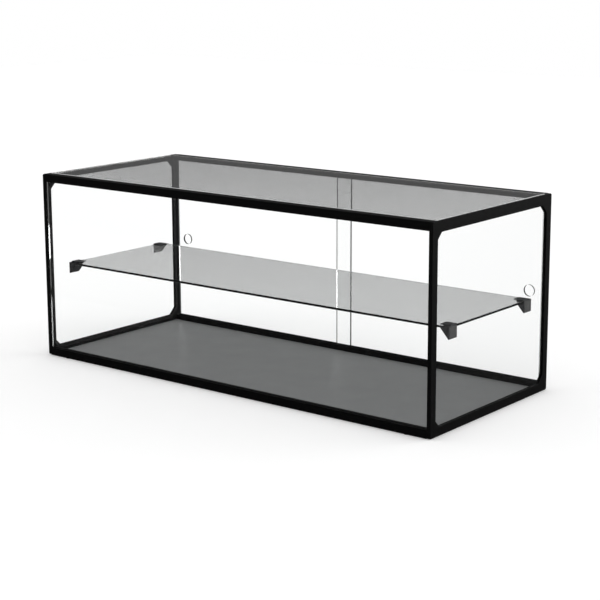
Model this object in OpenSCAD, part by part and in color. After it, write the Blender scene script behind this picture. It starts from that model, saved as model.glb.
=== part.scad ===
// Countertop display case: glass on the front, the top and both ends, one glass
// shelf on four corner clips, and two glass doors that slide along the rear.
// Origin: centre of the footprint, on the surface that the case stands on.
// +X is to the right seen from the front, +Y to the rear, +Z up. Millimetres.

/* [Case] */
// Width over the outer faces of the two side frames
body_w = 850; // [600:10:1200]
// Depth from the front edge to the rear edge of the side frames
body_d = 356; // [320:2:460]
// Height of the side frames, without the feet
frame_h = 338; // [300:2:460]

/* [Side frames] */
// Thickness of a side frame
side_t = 7; // [6:0.5:9]
// Border of the side frame in front of its window
border_front = 15; // [12:0.5:24]
// Border of the side frame behind its window
border_rear = 15; // [12:0.5:24]
// Border of the side frame above its window
border_top = 18; // [16:0.5:26]
// Border of the side frame below its window
border_bottom = 15; // [12:0.5:24]
// Corner cut of the window at its two front corners
cut_front = 10.5; // [4:0.5:20]
// Corner cut of the window at its two rear corners
cut_rear = 13.5; // [4:0.5:24]
// Radius of the four outer corners of a side frame
corner_r = 3; // [1:0.25:5]
// Thickness of the lip that a side pane lies against
lip_t = 2; // [1.5:0.25:2.5]
// Reach of the pane rebate past the window
rebate_w = 6; // [4:0.5:8]

/* [Front and top rails] */
// Depth of a front rail, front to back
rail_d = 14; // [12:0.5:20]
// Height of a front rail
rail_h = 14; // [12:0.5:20]
// Wall of a hollow front rail
rail_wall = 1.6; // [1:0.1:2]
// Depth of the groove that holds an edge of the front glass
groove_depth = 5; // [3:0.5:6]
// Width of the ledge that carries the top glass
ledge_w = 8; // [5:0.5:12]
// Thickness of that ledge
ledge_t = 2.5; // [1.5:0.25:4]
// Width of the flange that carries the floor panel
flange_w = 8; // [5:0.5:12]
// Thickness of that flange
flange_t = 1.2; // [1:0.1:2]

/* [Rear track rails] */
// Height of the rear bottom rail
track_bottom_h = 13.5; // [11:0.5:18]
// Height of the rear top rail
track_top_h = 17.5; // [15:0.5:24]
// Thickness of the three walls that make the two door channels
track_wall = 1.4; // [1:0.1:2.5]
// Thickness under the channels of the bottom rail
track_web = 3; // [2:0.25:4]
// Thickness above the channels of the top rail
track_roof = 2; // [1.5:0.25:3]
// Thickness of the plastic strip that a door slides on
glide_t = 1.2; // [0.8:0.1:2]
// Length of the rubber stop at each end of a channel
stop_len = 3; // [2:0.5:8]

/* [Glass] */
// Thickness of a side pane
pane_t = 3; // [2:0.25:3.5]
// Thickness of the front glass
front_t = 5; // [4:0.5:6]
// Set-back of the front glass from the front edge of the side frames
front_setback = 2.6; // [2:0.1:5]
// Thickness of the top glass
top_t = 8; // [6:0.5:10]
// Height of the top glass above the side frames
top_proud = 1; // [0.5:0.25:2]
// Thickness of the shelf glass
shelf_t = 4; // [4:0.5:8]
// Thickness of a door
door_t = 4; // [3:0.5:5]
// Polished chamfer on the upper edges of the top glass
arris = 0.8; // [0.4:0.1:1.5]

/* [Seals] */
// Rubber on each side of the front glass
seal_t = 0.6; // [0.4:0.1:1]
// Height of that rubber beyond the rail
seal_rise = 0.4; // [0.2:0.1:1]
// Width of the black joint round the top glass
joint_w = 2; // [1:0.25:2.5]
// Thickness of the bedding tape under the top glass
bedding_t = 0.5; // [0.3:0.1:1]

/* [Shelf] */
// Height of the underside of the shelf above the bottom of the side frames
shelf_height = 162.5; // [90:0.5:220]
// Distance from the front of the case to the front face of the front clips
shelf_setback = 54.5; // [40:0.5:80]
// Distance from the rear of the case to the rear face of the rear clips
shelf_rear_gap = 51; // [36:0.5:80]
// Reach of a clip from its back to its tip
clip_reach = 19.5; // [14:0.5:30]
// Length of a clip, front to back
clip_len = 24; // [16:0.5:40]
// Height of a clip below the shelf
clip_under = 16.8; // [10:0.2:24]
// Thickness of the jaw over the shelf
jaw_t = 1.5; // [1.25:0.25:3]
// Length of the clip that has no jaw, at its outer end
jaw_setback = 6; // [2:0.5:10]
// Thickness of a clip's tip
tip_t = 1; // [0.6:0.1:1.2]
// Walls of a clip behind the end of the shelf and across its own outer end
clip_wall = 1.2; // [0.8:0.1:2]
// Thickness of the tape that holds a clip to its pane
pad_t = 0.8; // [0.5:0.1:1.2]
// Bare border of the clip's back round that tape
pad_margin = 1.5; // [0.5:0.5:3]

/* [Doors] */
// Overlap of the two closed doors at the middle
door_overlap = 28; // [16:2:60]
// Reach of a door into the channels of the top rail
door_engage = 5; // [3:0.5:6]
// Diameter of the finger hole
hole_d = 20; // [16:1:30]
// Distance from a door's outer edge to the centre of its finger hole
hole_edge = 23; // [16:1:60]
// Height of the finger hole above the bottom of the side frames
hole_height = 170; // [120:1:220]

/* [Floor and feet] */
// Thickness of the floor panel
floor_t = 2.5; // [2:0.25:5]
// Height of a foot pad
foot_h = 1; // [0.8:0.1:4]
// Diameter of a foot pad
foot_d = 12; // [8:0.5:13]
// Distance from the end of a rail to the centre of its foot pad
foot_inset = 40; // [15:5:120]

/* [Clearances] */
// Gap on each side of a door in its channel
door_side_gap = 0.4; // [0.3:0.05:0.6]
// Gap between a door and what it slides on
door_lift_gap = 0.2; // [0.1:0.05:0.4]
// Gap between a closed door and its stop
stop_gap = 0.3; // [0.2:0.1:1]
// Gap between the end of the front glass, shelf or floor and what is beside it
end_gap = 0.5; // [0.3:0.1:1]
// Gap round a side pane in its rebate
pane_gap = 0.4; // [0.2:0.1:1]
// Gap over the shelf glass in a clip
slot_gap = 0.2; // [0.1:0.05:0.4]

/* [Hidden] */
$fn = 64;

// One name for each separate piece

// Colours
frame_black = [0.05, 0.05, 0.055];
rubber_black = [0.08, 0.08, 0.08];
clip_grey = [0.28, 0.28, 0.29];
floor_grey = [0.55, 0.56, 0.56];
clear_glass = [0.82, 0.90, 0.88, 0.35];
grey_tape = [0.25, 0.25, 0.26];
light_tape = [0.85, 0.85, 0.84];

// Outer limits and the levels that everything is measured from
half_w = body_w / 2;
half_d = body_d / 2;
inner_x = half_w - side_t;
inner_w = 2 * inner_x;
frame_z0 = foot_h;
frame_z1 = foot_h + frame_h;

// A cut that has to pass a face goes past it by this much
past = 1;

// Side panes: their inner face, and the bead that fills the rest of the rebate
pane_x = half_w - lip_t - pane_t;
bead_t = side_t - lip_t - pane_t;

// Front glass in its two grooves
groove_w = front_t + 2 * seal_t;
front_y = -half_d + front_setback;
front_z0 = frame_z0 + rail_h - groove_depth + seal_t;
front_z1 = frame_z1 - rail_h + groove_depth - seal_t;

// Rear rails: two channels between three walls
channel_w = door_t + 2 * door_side_gap;
track_d = 3 * track_wall + 2 * channel_w;
channel_pitch = channel_w + track_wall;
rear_channel_y = half_d - track_wall - channel_w / 2;
front_channel_y = rear_channel_y - channel_pitch;

// Doors
door_z0 = frame_z0 + track_web + glide_t + door_lift_gap;
door_z1 = frame_z1 - track_top_h + door_engage;
door_end_x = inner_x - stop_len - stop_gap;
door_w = door_end_x + door_overlap / 2;

// Top glass: the seat that it lies in, and its own outline
seat_depth = top_t - top_proud + bedding_t;
seat_z = frame_z1 - seat_depth;
seat_x = half_w - lip_t;
seat_y0 = -half_d + rail_d;
seat_y1 = half_d - track_d;

// Shelf and clips
shelf_z = frame_z0 + shelf_height;
shelf_w = inner_w - 2 * end_gap;
clip_back_x = pane_x - pad_t;
clip_h = clip_under + shelf_t + slot_gap + jaw_t;
clip_z0 = shelf_z - clip_under;
clip_y0 = -half_d + shelf_setback;
clip_y1 = half_d - shelf_rear_gap;
shelf_y0 = clip_y0 + clip_wall + end_gap;
shelf_y1 = clip_y1 - clip_wall - end_gap;

// ---- Shapes that several pieces share ----

// Extrudes an outline drawn in depth (x) and height (y) along the case's width
module across(length) {
    translate([-length / 2, 0, 0])
        rotate([90, 0, 90])
            linear_extrude(height = length) children();
}

// The same, for a plate that starts at a given x
module plate_at(x, thickness) {
    translate([x, 0, 0])
        rotate([90, 0, 90])
            linear_extrude(height = thickness) children();
}

// Box between two corners
module box(low, high) {
    translate(low) cube(high - low);
}

// Rectangle with four round corners
module round_rect(low, high, r) {
    translate([low.x + r, low.y]) square([high.x - low.x - 2 * r, high.y - low.y]);
    translate([low.x, low.y + r]) square([high.x - low.x, high.y - low.y - 2 * r]);
    for (x = [low.x + r, high.x - r], y = [low.y + r, high.y - r])
        translate([x, y]) circle(r = r);
}

// Window outline in depth and height, grown outwards by g on every side
module window_outline(g = 0) {
    y0 = -half_d + border_front - g;
    y1 = half_d - border_rear + g;
    z0 = frame_z0 + border_bottom - g;
    z1 = frame_z1 - border_top + g;
    cf = cut_front + g * (2 - sqrt(2));
    cr = cut_rear + g * (2 - sqrt(2));
    polygon([
        [y0, z0 + cf], [y0 + cf, z0], [y1 - cr, z0], [y1, z0 + cr],
        [y1, z1 - cr], [y1 - cr, z1], [y0 + cf, z1], [y0, z1 - cf]
    ]);
}

// Puts a piece drawn for the right end of the case on either end
module on_side(side) {
    if (side < 0) mirror([1, 0, 0]) children();
    else children();
}

// Rectangular ring between an outer and an inner outline, both given as
// [half width, front y, rear y]
module ring(outer, inner, z0, z1) {
    difference() {
        box([-outer[0], outer[1], z0], [outer[0], outer[2], z1]);
        box([-inner[0], inner[1], z0 - past], [inner[0], inner[2], z1 + past]);
    }
}

// ---- Side frames ----

// Flat frame with a cut-cornered window, a rebate for its pane on the inner
// face, and a seat for the top glass along its upper edge
module side_frame(side) {
    color(frame_black) on_side(side) difference() {
        plate_at(inner_x, side_t) difference() {
            round_rect([-half_d, frame_z0], [half_d, frame_z1], corner_r);
            window_outline();
        }
        plate_at(inner_x - past, pane_t + bead_t + past) window_outline(rebate_w);
        box([inner_x - past, seat_y0, seat_z], [seat_x, seat_y1, frame_z1 + past]);
    }
}

module side_pane(side) {
    color(clear_glass) on_side(side)
        plate_at(pane_x, pane_t) window_outline(rebate_w - pane_gap);
}

// Bead that holds the pane in, flush with the inner face of the frame
module pane_bead(side) {
    color(rubber_black) on_side(side)
        plate_at(inner_x, bead_t) difference() {
            window_outline(rebate_w - pane_gap);
            window_outline();
        }
}

// ---- Rails between the side frames ----

// Hollow rail with a groove for the lower edge of the front glass and a
// flange for the floor panel
module front_bottom_rail() {
    color(frame_black) across(inner_w) translate([-half_d, frame_z0]) difference() {
        union() {
            square([rail_d, rail_h]);
            square([rail_d + flange_w, flange_t]);
        }
        translate([front_setback - seal_t, rail_h - groove_depth])
            square([groove_w, groove_depth + past]);
        translate([rail_wall, rail_wall])
            square([rail_d - 2 * rail_wall, rail_h - groove_depth - 2 * rail_wall]);
    }
}

// Hollow rail with a groove for the upper edge of the front glass and a
// ledge for the top glass
module front_top_rail() {
    color(frame_black) across(inner_w) translate([-half_d, frame_z1]) difference() {
        union() {
            translate([0, -rail_h]) square([rail_d, rail_h]);
            translate([0, -seat_depth - ledge_t]) square([rail_d + ledge_w, ledge_t]);
        }
        translate([front_setback - seal_t, -rail_h - past])
            square([groove_w, groove_depth + past]);
        translate([rail_wall, -rail_h + groove_depth + rail_wall])
            square([rail_d - 2 * rail_wall, rail_h - groove_depth - 2 * rail_wall]);
    }
}

// Outlines of the two door channels, from height z0 to z1
module channels(z0, z1) {
    for (y = [front_channel_y, rear_channel_y])
        translate([y - channel_w / 2, z0]) square([channel_w, z1 - z0]);
}

// Rail with two open channels that the doors stand in
module rear_bottom_rail() {
    color(frame_black) across(inner_w) difference() {
        union() {
            translate([half_d - track_d, frame_z0]) square([track_d, track_bottom_h]);
            translate([half_d - track_d - flange_w, frame_z0])
                square([track_d + flange_w, flange_t]);
        }
        channels(frame_z0 + track_web, frame_z0 + track_bottom_h + past);
    }
}

// Rail with two deep channels over the doors and a ledge for the top glass
module rear_top_rail() {
    color(frame_black) across(inner_w) difference() {
        union() {
            translate([half_d - track_d, frame_z1 - track_top_h])
                square([track_d, track_top_h]);
            translate([half_d - track_d - ledge_w, seat_z - ledge_t])
                square([track_d + ledge_w, ledge_t]);
        }
        channels(frame_z1 - track_top_h - past, frame_z1 - track_roof);
    }
}

// ---- Floor and feet ----

module floor_panel() {
    x = inner_x - end_gap;
    z0 = frame_z0 + flange_t;
    color(floor_grey)
        box([-x, -half_d + rail_d + end_gap, z0], [x, half_d - track_d - end_gap, z0 + floor_t]);
}

module foot_pads() {
    x = inner_x - foot_inset;
    color(rubber_black)
        for (sx = [-1, 1], y = [-half_d + rail_d / 2, half_d - track_d / 2])
            translate([sx * x, y, 0]) cylinder(d = foot_d, h = foot_h);
}

// ---- Front glass and its seals ----

module front_glass() {
    x = inner_x - end_gap;
    color(clear_glass) box([-x, front_y, front_z0], [x, front_y + front_t, front_z1]);
}

// Channel-shaped rubber round one long edge of the front glass
module front_seal(z0, z1, slot_z0, slot_z1) {
    x = inner_x - end_gap;
    color(rubber_black) across(2 * x) difference() {
        translate([front_y - seal_t, z0]) square([groove_w, z1 - z0]);
        translate([front_y, slot_z0]) square([front_t, slot_z1 - slot_z0]);
    }
}

module front_seal_bottom() {
    z0 = front_z0 - seal_t;
    z1 = z0 + groove_depth + seal_rise;
    front_seal(z0, z1, front_z0, z1 + past);
}

module front_seal_top() {
    z1 = front_z1 + seal_t;
    z0 = z1 - groove_depth - seal_rise;
    front_seal(z0, z1, z0 - past, front_z1);
}

// ---- Top glass, its joint and its bedding ----

// Outline of the top glass as [half width, front y, rear y], drawn in by g
function top_outline(g = 0) = [
    seat_x - joint_w - g, seat_y0 + joint_w + g, seat_y1 - joint_w - g
];

// Plate with a polished chamfer round its upper face
module top_glass() {
    o = top_outline();
    z0 = seat_z + bedding_t;
    z1 = z0 + top_t;
    slope = arris * sqrt(2);
    color(clear_glass) difference() {
        box([-o[0], o[1], z0], [o[0], o[2], z1]);
        for (sx = [-1, 1])
            translate([sx * o[0], 0, z1]) rotate([0, 45, 0])
                cube([slope, body_d, slope], center = true);
        for (y = [o[1], o[2]])
            translate([0, y, z1]) rotate([45, 0, 0])
                cube([body_w, slope, slope], center = true);
    }
}

// Black joint between the top glass and the frame round it
module top_joint() {
    color(rubber_black)
        ring([seat_x, seat_y0, seat_y1], top_outline(), seat_z, frame_z1);
}

// Tape between the top glass and the ledges that carry it
module top_bedding() {
    bearing = min(seat_x - joint_w - inner_x, ledge_w - joint_w);
    color(light_tape)
        ring(top_outline(), top_outline(bearing), seat_z, seat_z + bedding_t);
}

// ---- Shelf and its clips ----

module shelf_glass() {
    color(clear_glass)
        box([-shelf_w / 2, shelf_y0, shelf_z], [shelf_w / 2, shelf_y1, shelf_z + shelf_t]);
}

// Wedge-shaped clip: a closed wall at its outer end, a slot for the corner of
// the shelf, and a thin jaw over the inner part of its length
module shelf_clip() {
    slot_top = clip_h - jaw_t;
    difference() {
        rotate([90, 0, 180]) linear_extrude(height = clip_len)
            polygon([[0, 0], [0, clip_h], [clip_reach, clip_h], [clip_reach, clip_h - tip_t]]);
        box([-clip_reach - past, clip_wall, clip_under],
            [-clip_wall, clip_len + past, slot_top]);
        box([-clip_reach - past, -past, slot_top],
            [past, jaw_setback, clip_h + past]);
    }
}

// Places a clip or its tape: side -1 left, 1 right; rear true or false
module at_clip(side, rear) {
    on_side(side) translate([0, rear ? clip_y1 : clip_y0, clip_z0])
        mirror([0, rear ? 1 : 0, 0]) children();
}

module clip(side, rear) {
    color(clip_grey) at_clip(side, rear) translate([clip_back_x, 0, 0]) shelf_clip();
}

module clip_tapes() {
    color(grey_tape) for (side = [-1, 1], rear = [false, true])
        at_clip(side, rear)
            box([clip_back_x, pad_margin, pad_margin],
                [pane_x, clip_len - pad_margin, clip_h - jaw_t - pad_margin]);
}

// ---- Doors and what they run on ----

// Plastic strip on the floor of one channel
module glide(y) {
    x = inner_x - stop_len;
    w = channel_w - 2 * door_lift_gap;
    z0 = frame_z0 + track_web;
    color(rubber_black) box([-x, y - w / 2, z0], [x, y + w / 2, z0 + glide_t]);
}

// Rubber block at both ends of both channels
module door_stops() {
    w = channel_w - 2 * door_lift_gap;
    color(rubber_black) for (side = [-1, 1], y = [front_channel_y, rear_channel_y])
        on_side(side)
            box([inner_x - stop_len, y - w / 2, frame_z0 + track_web],
                [inner_x, y + w / 2, frame_z0 + track_bottom_h]);
}

// Closed door drawn for the right end, with its finger hole near the outer edge
module door(side, y) {
    color(clear_glass) on_side(side) difference() {
        box([door_end_x - door_w, y - door_t / 2, door_z0],
            [door_end_x, y + door_t / 2, door_z1]);
        translate([door_end_x - hole_edge, y, frame_z0 + hole_height])
            rotate([90, 0, 0]) cylinder(d = hole_d, h = door_t + 2 * past, center = true);
    }
}

side_frame(-1);  // side_frame_left
side_frame(1);  // side_frame_right
side_pane(-1);  // side_pane_left
side_pane(1);  // side_pane_right
pane_bead(-1);  // pane_bead_left
pane_bead(1);  // pane_bead_right
front_top_rail();
front_bottom_rail();
rear_top_rail();
rear_bottom_rail();
floor_panel();
foot_pads();
front_glass();
front_seal_top();
front_seal_bottom();
top_glass();
top_joint();
top_bedding();
shelf_glass();
clip(-1, false);  // clip_front_left
clip(1, false);  // clip_front_right
clip(-1, true);  // clip_rear_left
clip(1, true);  // clip_rear_right
clip_tapes();
glide(front_channel_y);  // glide_front
glide(rear_channel_y);  // glide_rear
door_stops();
door(-1, rear_channel_y);  // door_left
door(1, front_channel_y);  // door_right
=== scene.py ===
import math

import bmesh
import bpy
from mathutils import Matrix, Vector


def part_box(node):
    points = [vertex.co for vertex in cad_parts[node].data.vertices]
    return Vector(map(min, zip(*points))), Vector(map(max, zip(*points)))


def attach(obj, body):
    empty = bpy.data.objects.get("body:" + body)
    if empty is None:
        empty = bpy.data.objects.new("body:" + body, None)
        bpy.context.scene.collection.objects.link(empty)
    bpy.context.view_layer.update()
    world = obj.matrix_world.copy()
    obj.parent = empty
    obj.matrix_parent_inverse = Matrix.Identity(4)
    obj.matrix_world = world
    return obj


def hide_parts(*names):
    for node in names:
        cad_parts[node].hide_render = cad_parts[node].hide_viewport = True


# Looks of the countertop display case: materials, edges, light and camera. Every visible
# solid is carried over as a piece with softened edges that stands where its solid
# stands. Lengths are in metres.

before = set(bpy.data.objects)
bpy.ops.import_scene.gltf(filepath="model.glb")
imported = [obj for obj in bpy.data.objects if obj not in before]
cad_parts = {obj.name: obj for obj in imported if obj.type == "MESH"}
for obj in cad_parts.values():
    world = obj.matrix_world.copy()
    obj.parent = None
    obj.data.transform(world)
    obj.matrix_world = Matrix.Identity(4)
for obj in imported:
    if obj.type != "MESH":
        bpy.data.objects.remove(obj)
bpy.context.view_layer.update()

# ---- Where things are ----

# The camera was solved from the photograph with the side frames' height as unit.
FRAME_H = 0.338
FOOT_H = 0.001
IMAGE_PX = 600
FOCAL_PX = 1567.3
SENSOR_MM = 36.0
AZIMUTH, ELEVATION, ROLL = 38.25, 11.558, -0.179
DISTANCE, AIM_RIGHT, AIM_UP = 8.1735, 0.0948, 0.0505
# Where the lens axis meets the photograph, in pixels from its left and upper edge.
AXIS_X, AXIS_Y = 304.56, 268.39

# Bodies of the record: everything rides the cabinet except the two doors.
ROOT_BODY = "cabinet"
DOOR_BODIES = {"door_left": "left_door", "door_right": "right_door"}

# ---- Nodes of a material ----

# Almost all values of a noise lie between these two.
NOISE_LOW, NOISE_HIGH = 0.3, 0.7


def new_material(name):
    """An empty node material with its output, and the tree to build in."""
    mat = bpy.data.materials.new(name)
    mat.use_nodes = True
    tree = mat.node_tree
    tree.nodes.clear()
    out = tree.nodes.new("ShaderNodeOutputMaterial")
    return mat, tree, out.inputs["Surface"]


def add(tree, kind, values=None, **settings):
    """A node of this kind, with its settings and the values of its sockets."""
    node = tree.nodes.new(kind)
    for name, value in settings.items():
        setattr(node, name, value)
    for name, value in (values or {}).items():
        node.inputs[name].default_value = value
    return node


def grey(value):
    """A colour with three equal parts."""
    return (value, value, value, 1.0)


def noise(tree, scale, detail=3.0, stretch=(1, 1, 1)):
    """Noise over the piece's own coordinates, in cycles per metre."""
    coords = add(tree, "ShaderNodeTexCoord")
    mapping = add(tree, "ShaderNodeMapping", {"Scale": stretch})
    tex = add(tree, "ShaderNodeTexNoise", {"Scale": scale, "Detail": detail})
    tree.links.new(coords.outputs["Object"], mapping.inputs["Vector"])
    tree.links.new(mapping.outputs["Vector"], tex.inputs["Vector"])
    return tex.outputs["Fac"]


def spread(tree, fac, low, high):
    """Maps the middle of a noise to the range low to high."""
    node = add(tree, "ShaderNodeMapRange", {
        "From Min": NOISE_LOW, "From Max": NOISE_HIGH, "To Min": low, "To Max": high})
    tree.links.new(fac, node.inputs["Value"])
    return node.outputs["Result"]


def blend_colours(tree, fac, first, second):
    """Mixes two colours by fac."""
    node = add(tree, "ShaderNodeMix", data_type="RGBA")
    node.inputs["A"].default_value = first
    node.inputs["B"].default_value = second
    tree.links.new(fac, node.inputs["Factor"])
    return node.outputs["Result"]


def bump(tree, height, strength, distance):
    """A normal that tilts as if the surface rose by height times distance."""
    node = add(tree, "ShaderNodeBump", {"Strength": strength, "Distance": distance})
    tree.links.new(height, node.inputs["Height"])
    return node.outputs["Normal"]


# ---- Materials ----

# Share of the soft light and lamp light that one face of a pane lets through.
LIGHT_THROUGH = 0.93
# Cycles per metre of the tint and of the ripple in glass, and the depth of that ripple.
TINT_SCALE, RIPPLE_SCALE = 3.0, 9.0
RIPPLE_STRENGTH, RIPPLE_DEPTH = 0.03, 0.0004
# The ripple is drawn out along the height of a pane.
RIPPLE_STRETCH = (1, 1, 0.35)
# Scales of the mottle and of the uneven gloss, as shares of the scale of the grain.
MOTTLE_SHARE, GLOSS_SHARE = 0.2, 0.05


def coated(name, first, second, rough, grain, strength, specular, depth=0.0001):
    """An opaque surface: two close colours in a fine mottle, uneven gloss and a grain of
    this many cycles per metre."""
    mat, tree, surface = new_material(name)
    shader = add(tree, "ShaderNodeBsdfPrincipled", {"Specular IOR Level": specular})
    mottle = noise(tree, grain * MOTTLE_SHARE)
    fine = noise(tree, grain, detail=2.0)
    links = (
        (blend_colours(tree, mottle, first, second), "Base Color"),
        (spread(tree, noise(tree, grain * GLOSS_SHARE), *rough), "Roughness"),
        (bump(tree, fine, strength, depth), "Normal"),
    )
    for socket, name_in in links:
        tree.links.new(socket, shader.inputs[name_in])
    tree.links.new(shader.outputs["BSDF"], surface)
    return mat


def powder_coat():
    """Fine satin black powder coat."""
    return coated("powder_coat", grey(0.0016), (0.0026, 0.0026, 0.0029, 1),
                  rough=(0.42, 0.52), grain=1600, strength=0.16, specular=0.1)


def black_rubber():
    """Matt black rubber of the seals, beads, stops and pads."""
    return coated("black_rubber", grey(0.008), grey(0.014),
                  rough=(0.6, 0.75), grain=1100, strength=0.25, specular=0.2)


def clip_plastic():
    """Dark grey moulded plastic with a spark-eroded grain."""
    return coated("clip_plastic", (0.028, 0.028, 0.029, 1), (0.038, 0.038, 0.04, 1),
                  rough=(0.45, 0.58), grain=2200, strength=0.3, specular=0.35)


def grey_tape():
    """Foam tape between a clip and its pane."""
    return coated("grey_tape", grey(0.06), grey(0.08),
                  rough=(0.6, 0.7), grain=1500, strength=0.3, specular=0.25)


def glide_strip():
    """Smooth black plastic that the doors slide on."""
    return coated("glide_strip", grey(0.012), grey(0.02),
                  rough=(0.25, 0.4), grain=900, strength=0.1, specular=0.4)


def floor_sheet():
    """Grey enamel with the soft unevenness of a sprayed sheet."""
    return coated("floor_sheet", (0.215, 0.22, 0.22, 1), (0.245, 0.251, 0.253, 1),
                  rough=(0.34, 0.42), grain=350, strength=0.12, specular=0.16,
                  depth=0.00015)


def light_silicone():
    """Bedding under the top glass."""
    return coated("light_silicone", (0.62, 0.62, 0.6, 1), (0.7, 0.7, 0.68, 1),
                  rough=(0.3, 0.42), grain=500, strength=0.2, specular=0.4)


def clear_glass(name, pale, deep, ior=1.5, rough=0.0):
    """Float glass with a faint change of tint and ripple. Rays from lamps and rays that
    only gather soft light go straight through it, so that the inside is lit."""
    mat, tree, surface = new_material(name)
    glass = add(tree, "ShaderNodeBsdfPrincipled", {
        "Transmission Weight": 1.0, "IOR": ior, "Roughness": rough})
    tint = blend_colours(tree, noise(tree, TINT_SCALE), pale, deep)
    waves = noise(tree, RIPPLE_SCALE, detail=1.0, stretch=RIPPLE_STRETCH)
    ripple = bump(tree, waves, RIPPLE_STRENGTH, RIPPLE_DEPTH)
    tree.links.new(tint, glass.inputs["Base Color"])
    tree.links.new(ripple, glass.inputs["Normal"])
    through = add(tree, "ShaderNodeBsdfTransparent", {"Color": grey(LIGHT_THROUGH)})
    path = add(tree, "ShaderNodeLightPath")
    either = add(tree, "ShaderNodeMath", operation="MAXIMUM")
    tree.links.new(path.outputs["Is Shadow Ray"], either.inputs[0])
    tree.links.new(path.outputs["Is Diffuse Ray"], either.inputs[1])
    mix = add(tree, "ShaderNodeMixShader")
    tree.links.new(either.outputs["Value"], mix.inputs["Fac"])
    tree.links.new(glass.outputs["BSDF"], mix.inputs[1])
    tree.links.new(through.outputs["BSDF"], mix.inputs[2])
    tree.links.new(mix.outputs["Shader"], surface)
    return mat


def painted_shade_hole_edge():
    """Wall of a drilled hole, ground matt, coloured near black as painted shade for the dark
    look of the glass there.
    """
    return coated("painted_shade_hole_edge", grey(0.003), grey(0.008),
                  rough=(0.5, 0.65), grain=1400, strength=0.3, specular=0.1)


def painted_highlight_arris():
    """Chamfer of the top glass along its front and right, coloured opaque light grey as a
    painted highlight where it would catch the light.
    """
    return coated("painted_highlight_arris", (0.6, 0.61, 0.61, 1), (0.72, 0.73, 0.73, 1),
                  rough=(0.2, 0.3), grain=700, strength=0.1, specular=0.5)


# ---- Pieces ----

# Faces of a round hole are smaller than this, in square metres, and all other faces of
# glass are larger.
HOLE_FACE = 1e-5
# Slope of a face across its plate: above the first on the sides, below the second on
# the edges, and between them on a chamfer.
SIDE_SLOPE, EDGE_SLOPE = 0.9, 0.5
# A chamfer whose normal points this far to the front or right takes the painted highlight.
PAINTED_HIGHLIGHT_SIDE = 0.5
# Corners closer than this are joined, and so are faces that bend by less than this.
MERGE_GAP = 1e-6
FLAT_DEG = 0.5
# Edges that bend by more than this are rounded.
SHARP_DEG = 25
# How far the sides of glass and of rails are drawn in.
GLASS_SHRINK = 0.00005
RAIL_SHRINK = 0.00002


def part_of_plate(face, axis):
    """Which material of a glass plate a face takes: 0 on its two sides and its polished
    chamfers, 1 on its edges, 2 in a drilled hole (painted shade) and on a chamfer to the
    front or right (painted highlight)."""
    slope = abs(face.normal[axis])
    if EDGE_SLOPE < slope < SIDE_SLOPE:
        return 2 if face.normal.x - face.normal.y > PAINTED_HIGHLIGHT_SIDE else 0
    if slope > SIDE_SLOPE:
        return 0
    return 2 if face.calc_area() < HOLE_FACE else 1


def softened(node, body, materials, edge, shrink=0.0, thin_axis=None):
    """A piece in the place of a CAD node: its faces joined, its edges rounded, and its
    sides drawn in by shrink, so that glass doesn't share faces with its seal and the
    rounding stays inside the solid."""
    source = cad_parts[node]
    bm = bmesh.new()
    bm.from_mesh(source.data)
    bmesh.ops.remove_doubles(bm, verts=bm.verts, dist=MERGE_GAP)
    bmesh.ops.dissolve_limit(bm, angle_limit=math.radians(FLAT_DEG), verts=bm.verts,
                             edges=bm.edges, delimit={"NORMAL"})
    if shrink:
        low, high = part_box(node)
        centre, span = (low + high) / 2, high - low
        for vert in bm.verts:
            for i in range(3):
                vert.co[i] = centre[i] + (vert.co[i] - centre[i]) * (1 - 2 * shrink / span[i])
    for face in bm.faces:
        face.smooth = False
        if thin_axis is not None:
            face.material_index = part_of_plate(face, thin_axis)
    mesh = bpy.data.meshes.new(node + "_skin")
    bm.to_mesh(mesh)
    bm.free()
    for material in materials:
        mesh.materials.append(material)
    piece = bpy.data.objects.new(node + "_skin", mesh)
    bpy.context.collection.objects.link(piece)
    round_edges = piece.modifiers.new("edges", "BEVEL")
    round_edges.width = edge
    round_edges.segments = 2
    round_edges.limit_method = "ANGLE"
    round_edges.angle_limit = math.radians(SHARP_DEG)
    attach(piece, body)
    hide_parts(node)


coat = powder_coat()
rubber = black_rubber()
plastic = clip_plastic()
tape = grey_tape()
strip = glide_strip()
enamel = floor_sheet()
silicone = light_silicone()
pane = clear_glass("pane_glass", (0.998, 1.0, 0.999, 1), (0.992, 0.997, 0.995, 1), ior=1.2)
top = clear_glass("top_glass", (0.975, 0.98, 0.98, 1), (0.935, 0.945, 0.945, 1))
shelf = clear_glass("shelf_glass", (0.985, 0.99, 0.99, 1), (0.945, 0.955, 0.955, 1))
edge_glass = clear_glass("glass_edge", (0.86, 0.9, 0.89, 1), (0.78, 0.85, 0.83, 1), rough=0.06)
# Painted shade on the walls of the door holes.
painted_shade_hole_wall = painted_shade_hole_edge()
# Painted highlight on the top glass's front and right chamfers.
painted_highlight_edge = painted_highlight_arris()

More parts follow.
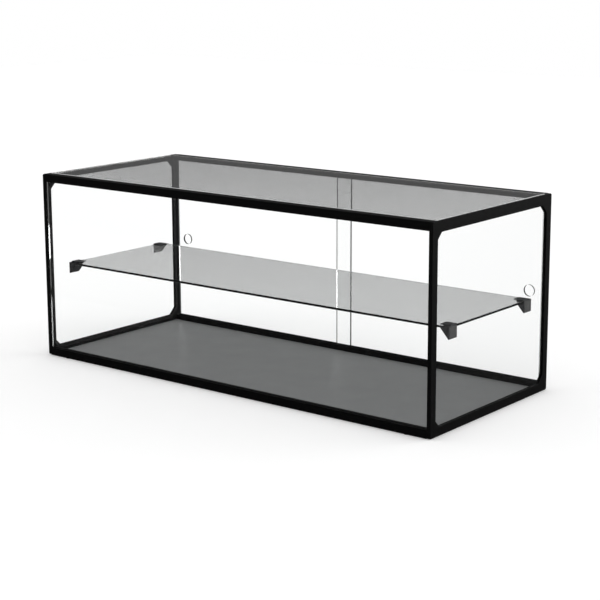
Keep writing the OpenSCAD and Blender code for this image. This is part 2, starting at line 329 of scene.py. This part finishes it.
# nodes: materials, record slot, edge radius, shrink, axis across a plate
PLAN = (
    (("side_frame_left", "side_frame_right"), [coat], "powder_coat", 0.0006, 0, None),
    (("front_top_rail", "front_bottom_rail", "rear_top_rail", "rear_bottom_rail"),
     [coat], "powder_coat", 0.0004, RAIL_SHRINK, None),
    (("pane_bead_left", "pane_bead_right", "front_seal_top", "front_seal_bottom",
      "door_stops", "top_joint"), [rubber], "black_rubber", 0.0002, 0, None),
    (("clip_front_left", "clip_front_right", "clip_rear_left", "clip_rear_right"),
     [plastic], "clip_plastic", 0.0003, 0, None),
    (("clip_tapes",), [tape], "grey_tape", 0.0001, 0, None),
    (("glide_front", "glide_rear"), [strip], "glide_plastic", 0.0002, 0, None),
    (("floor_panel",), [enamel], "floor_sheet", 0.0004, 0, None),
    (("top_bedding",), [silicone], "light_silicone", 0.0001, 0, None),
    (("side_pane_left", "side_pane_right"), [pane, edge_glass], "clear_glass",
     0.0004, GLASS_SHRINK, 0),
    (("front_glass",), [pane, edge_glass], "clear_glass", 0.0005, GLASS_SHRINK, 1),
    # The walls of the door holes take painted shade.
    (("door_left", "door_right"), [pane, edge_glass, painted_shade_hole_wall], "clear_glass", 0.0002, 0, 1),
    # The top glass's front and right chamfers take a painted highlight.
    (("top_glass",), [top, edge_glass, painted_highlight_edge], "clear_glass",
     0.0002, GLASS_SHRINK, 2),
    (("shelf_glass",), [shelf, edge_glass], "clear_glass", 0.0005, GLASS_SHRINK, 2),
)
for nodes, materials, slot, edge, shrink, axis in PLAN:
    for node in nodes:
        softened(node, DOOR_BODIES.get(node, ROOT_BODY), materials, edge, shrink, axis)

# The foot pads keep their solids.
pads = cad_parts["foot_pads"]
pads.data.materials.clear()
pads.data.materials.append(rubber)

# ---- Floor and light ----

FLOOR_HALF = 6.0
# Light that the floor adds of its own, and its white seen straight and in a reflection.
FLOOR_GLOW = 0.14
FLOOR_ALBEDO = 0.92
FLOOR_MIRRORED = 0.12
# Soft light from all round, and how bright gloss and glass show the surroundings: up to
# the first height of a ray's direction as horizon, above the second as ceiling.
WORLD_LIGHT = 0.8
HORIZON_MIRRORED = 0.12
CEILING_SEEN = 0.12
HORIZON_TOP, CEILING_FOOT = 0.02, 0.1
# Name, azimuth, elevation, strength and width of each lamp, angles in degrees.
LAMPS = (
    ("light_left", -50, 52, 0.3, 50),
    ("light_rear_right", 135, 32, 0.45, 50),
    ("light_low_right", 140, 8, 0.9, 40),
)


def path_kind(tree):
    """The light path node and two sockets: 1 where the camera, gloss or glass sees the
    stage, and 1 where the way to it went over at least one reflection."""
    path = add(tree, "ShaderNodeLightPath")
    clear_view = add(tree, "ShaderNodeMath", operation="MAXIMUM")
    tree.links.new(path.outputs["Is Camera Ray"], clear_view.inputs[0])
    tree.links.new(path.outputs["Is Transmission Ray"], clear_view.inputs[1])
    seen = add(tree, "ShaderNodeMath", operation="MAXIMUM")
    tree.links.new(clear_view.outputs["Value"], seen.inputs[0])
    tree.links.new(path.outputs["Is Glossy Ray"], seen.inputs[1])
    mirrored = add(tree, "ShaderNodeMath", operation="MINIMUM")
    mirrored.inputs[1].default_value = 1.0
    tree.links.new(path.outputs["Glossy Depth"], mirrored.inputs[0])
    return path, seen.outputs["Value"], mirrored.outputs["Value"]


def blend_values(tree, fac, first, second):
    """Mixes two numbers or sockets by fac."""
    node = add(tree, "ShaderNodeMix", data_type="FLOAT")
    tree.links.new(fac, node.inputs["Factor"])
    for name, value in (("A", first), ("B", second)):
        if isinstance(value, float):
            node.inputs[name].default_value = value
        else:
            tree.links.new(value, node.inputs[name])
    return node.outputs["Result"]


def floor_material():
    """White floor that keeps a shadow: part of its white is light of its own that doesn't
    reach the object. In reflections it is dim, as a dark room is."""
    mat, tree, surface = new_material("stage_floor")
    path, seen, mirrored = path_kind(tree)
    level = blend_values(tree, seen, 0.0, blend_values(tree, mirrored, FLOOR_GLOW, 0.0))
    glow = add(tree, "ShaderNodeEmission", {"Color": grey(1.0)})
    tree.links.new(level, glow.inputs["Strength"])
    matt = add(tree, "ShaderNodeBsdfDiffuse")
    tree.links.new(blend_colours(tree, mirrored, grey(FLOOR_ALBEDO), grey(FLOOR_MIRRORED)),
                   matt.inputs["Color"])
    both = add(tree, "ShaderNodeAddShader")
    tree.links.new(glow.outputs["Emission"], both.inputs[0])
    tree.links.new(matt.outputs["BSDF"], both.inputs[1])
    tree.links.new(both.outputs["Shader"], surface)
    return mat


def make_floor():
    """A large square level with the surface that the case stands on."""
    mesh = bpy.data.meshes.new("stage_floor")
    h = FLOOR_HALF
    mesh.from_pydata([(-h, -h, 0), (h, -h, 0), (h, h, 0), (-h, h, 0)], [], [(0, 1, 2, 3)])
    mesh.materials.append(floor_material())
    floor = bpy.data.objects.new("stage_floor", mesh)
    bpy.context.collection.objects.link(floor)


def make_world():
    """White behind the object, also through glass, dim surroundings that only gloss and
    glass show, and soft even light."""
    world = bpy.data.worlds.new("studio")
    world.use_nodes = True
    tree = world.node_tree
    tree.nodes.clear()
    out = add(tree, "ShaderNodeOutputWorld")
    shade = add(tree, "ShaderNodeBackground", {"Color": grey(1.0)})
    tree.links.new(shade.outputs["Background"], out.inputs["Surface"])
    path, seen, mirrored = path_kind(tree)
    coords = add(tree, "ShaderNodeTexCoord")
    split = add(tree, "ShaderNodeSeparateXYZ")
    tree.links.new(coords.outputs["Generated"], split.inputs["Vector"])
    ceiling = add(tree, "ShaderNodeMapRange", {
        "From Min": HORIZON_TOP, "From Max": CEILING_FOOT, "To Max": CEILING_SEEN})
    tree.links.new(split.outputs["Z"], ceiling.inputs["Value"])
    tree.links.new(blend_values(tree, mirrored, 1.0, HORIZON_MIRRORED), ceiling.inputs["To Min"])
    level = blend_values(tree, seen, WORLD_LIGHT, ceiling.outputs["Result"])
    level = blend_values(tree, path.outputs["Is Camera Ray"], level, 1.0)
    tree.links.new(level, shade.inputs["Strength"])
    bpy.context.scene.world = world


def direction(azimuth, elevation):
    """Points from the object towards a place, with azimuth 0 in front of it."""
    a, e = math.radians(azimuth), math.radians(elevation)
    return Vector((math.sin(a) * math.cos(e), -math.cos(a) * math.cos(e), math.sin(e)))


def soft_light(name, azimuth, elevation, strength, width):
    """A wide even light from one side of the sky."""
    data = bpy.data.lights.new(name, "SUN")
    data.energy = strength
    data.angle = math.radians(width)
    lamp = bpy.data.objects.new(name, data)
    source = direction(azimuth, elevation)
    lamp.rotation_mode = "QUATERNION"
    lamp.rotation_quaternion = (-source).to_track_quat("-Z", "Y")
    bpy.context.collection.objects.link(lamp)


def make_camera():
    """The camera of the photograph."""
    a, r = math.radians(AZIMUTH), math.radians(ROLL)
    back = direction(AZIMUTH, ELEVATION)
    level = Vector((math.cos(a), math.sin(a), 0))
    rise = back.cross(level)
    right = math.cos(r) * level + math.sin(r) * rise
    up = math.cos(r) * rise - math.sin(r) * level
    target = Vector((0, 0, FRAME_H / 2 + FOOT_H))
    target += FRAME_H * (AIM_RIGHT * level + AIM_UP * rise)
    data = bpy.data.cameras.new("camera")
    data.sensor_width = SENSOR_MM
    data.lens = FOCAL_PX / IMAGE_PX * SENSOR_MM
    data.shift_x = 0.5 - AXIS_X / IMAGE_PX
    data.shift_y = AXIS_Y / IMAGE_PX - 0.5
    camera = bpy.data.objects.new("camera", data)
    turn = Matrix((right, up, back)).transposed().to_4x4()
    camera.matrix_world = Matrix.Translation(target + FRAME_H * DISTANCE * back) @ turn
    bpy.context.collection.objects.link(camera)
    bpy.context.scene.camera = camera


make_floor()
make_world()
for lamp in LAMPS:
    soft_light(*lamp)
make_camera()
bpy.context.scene.view_settings.view_transform = "Standard"
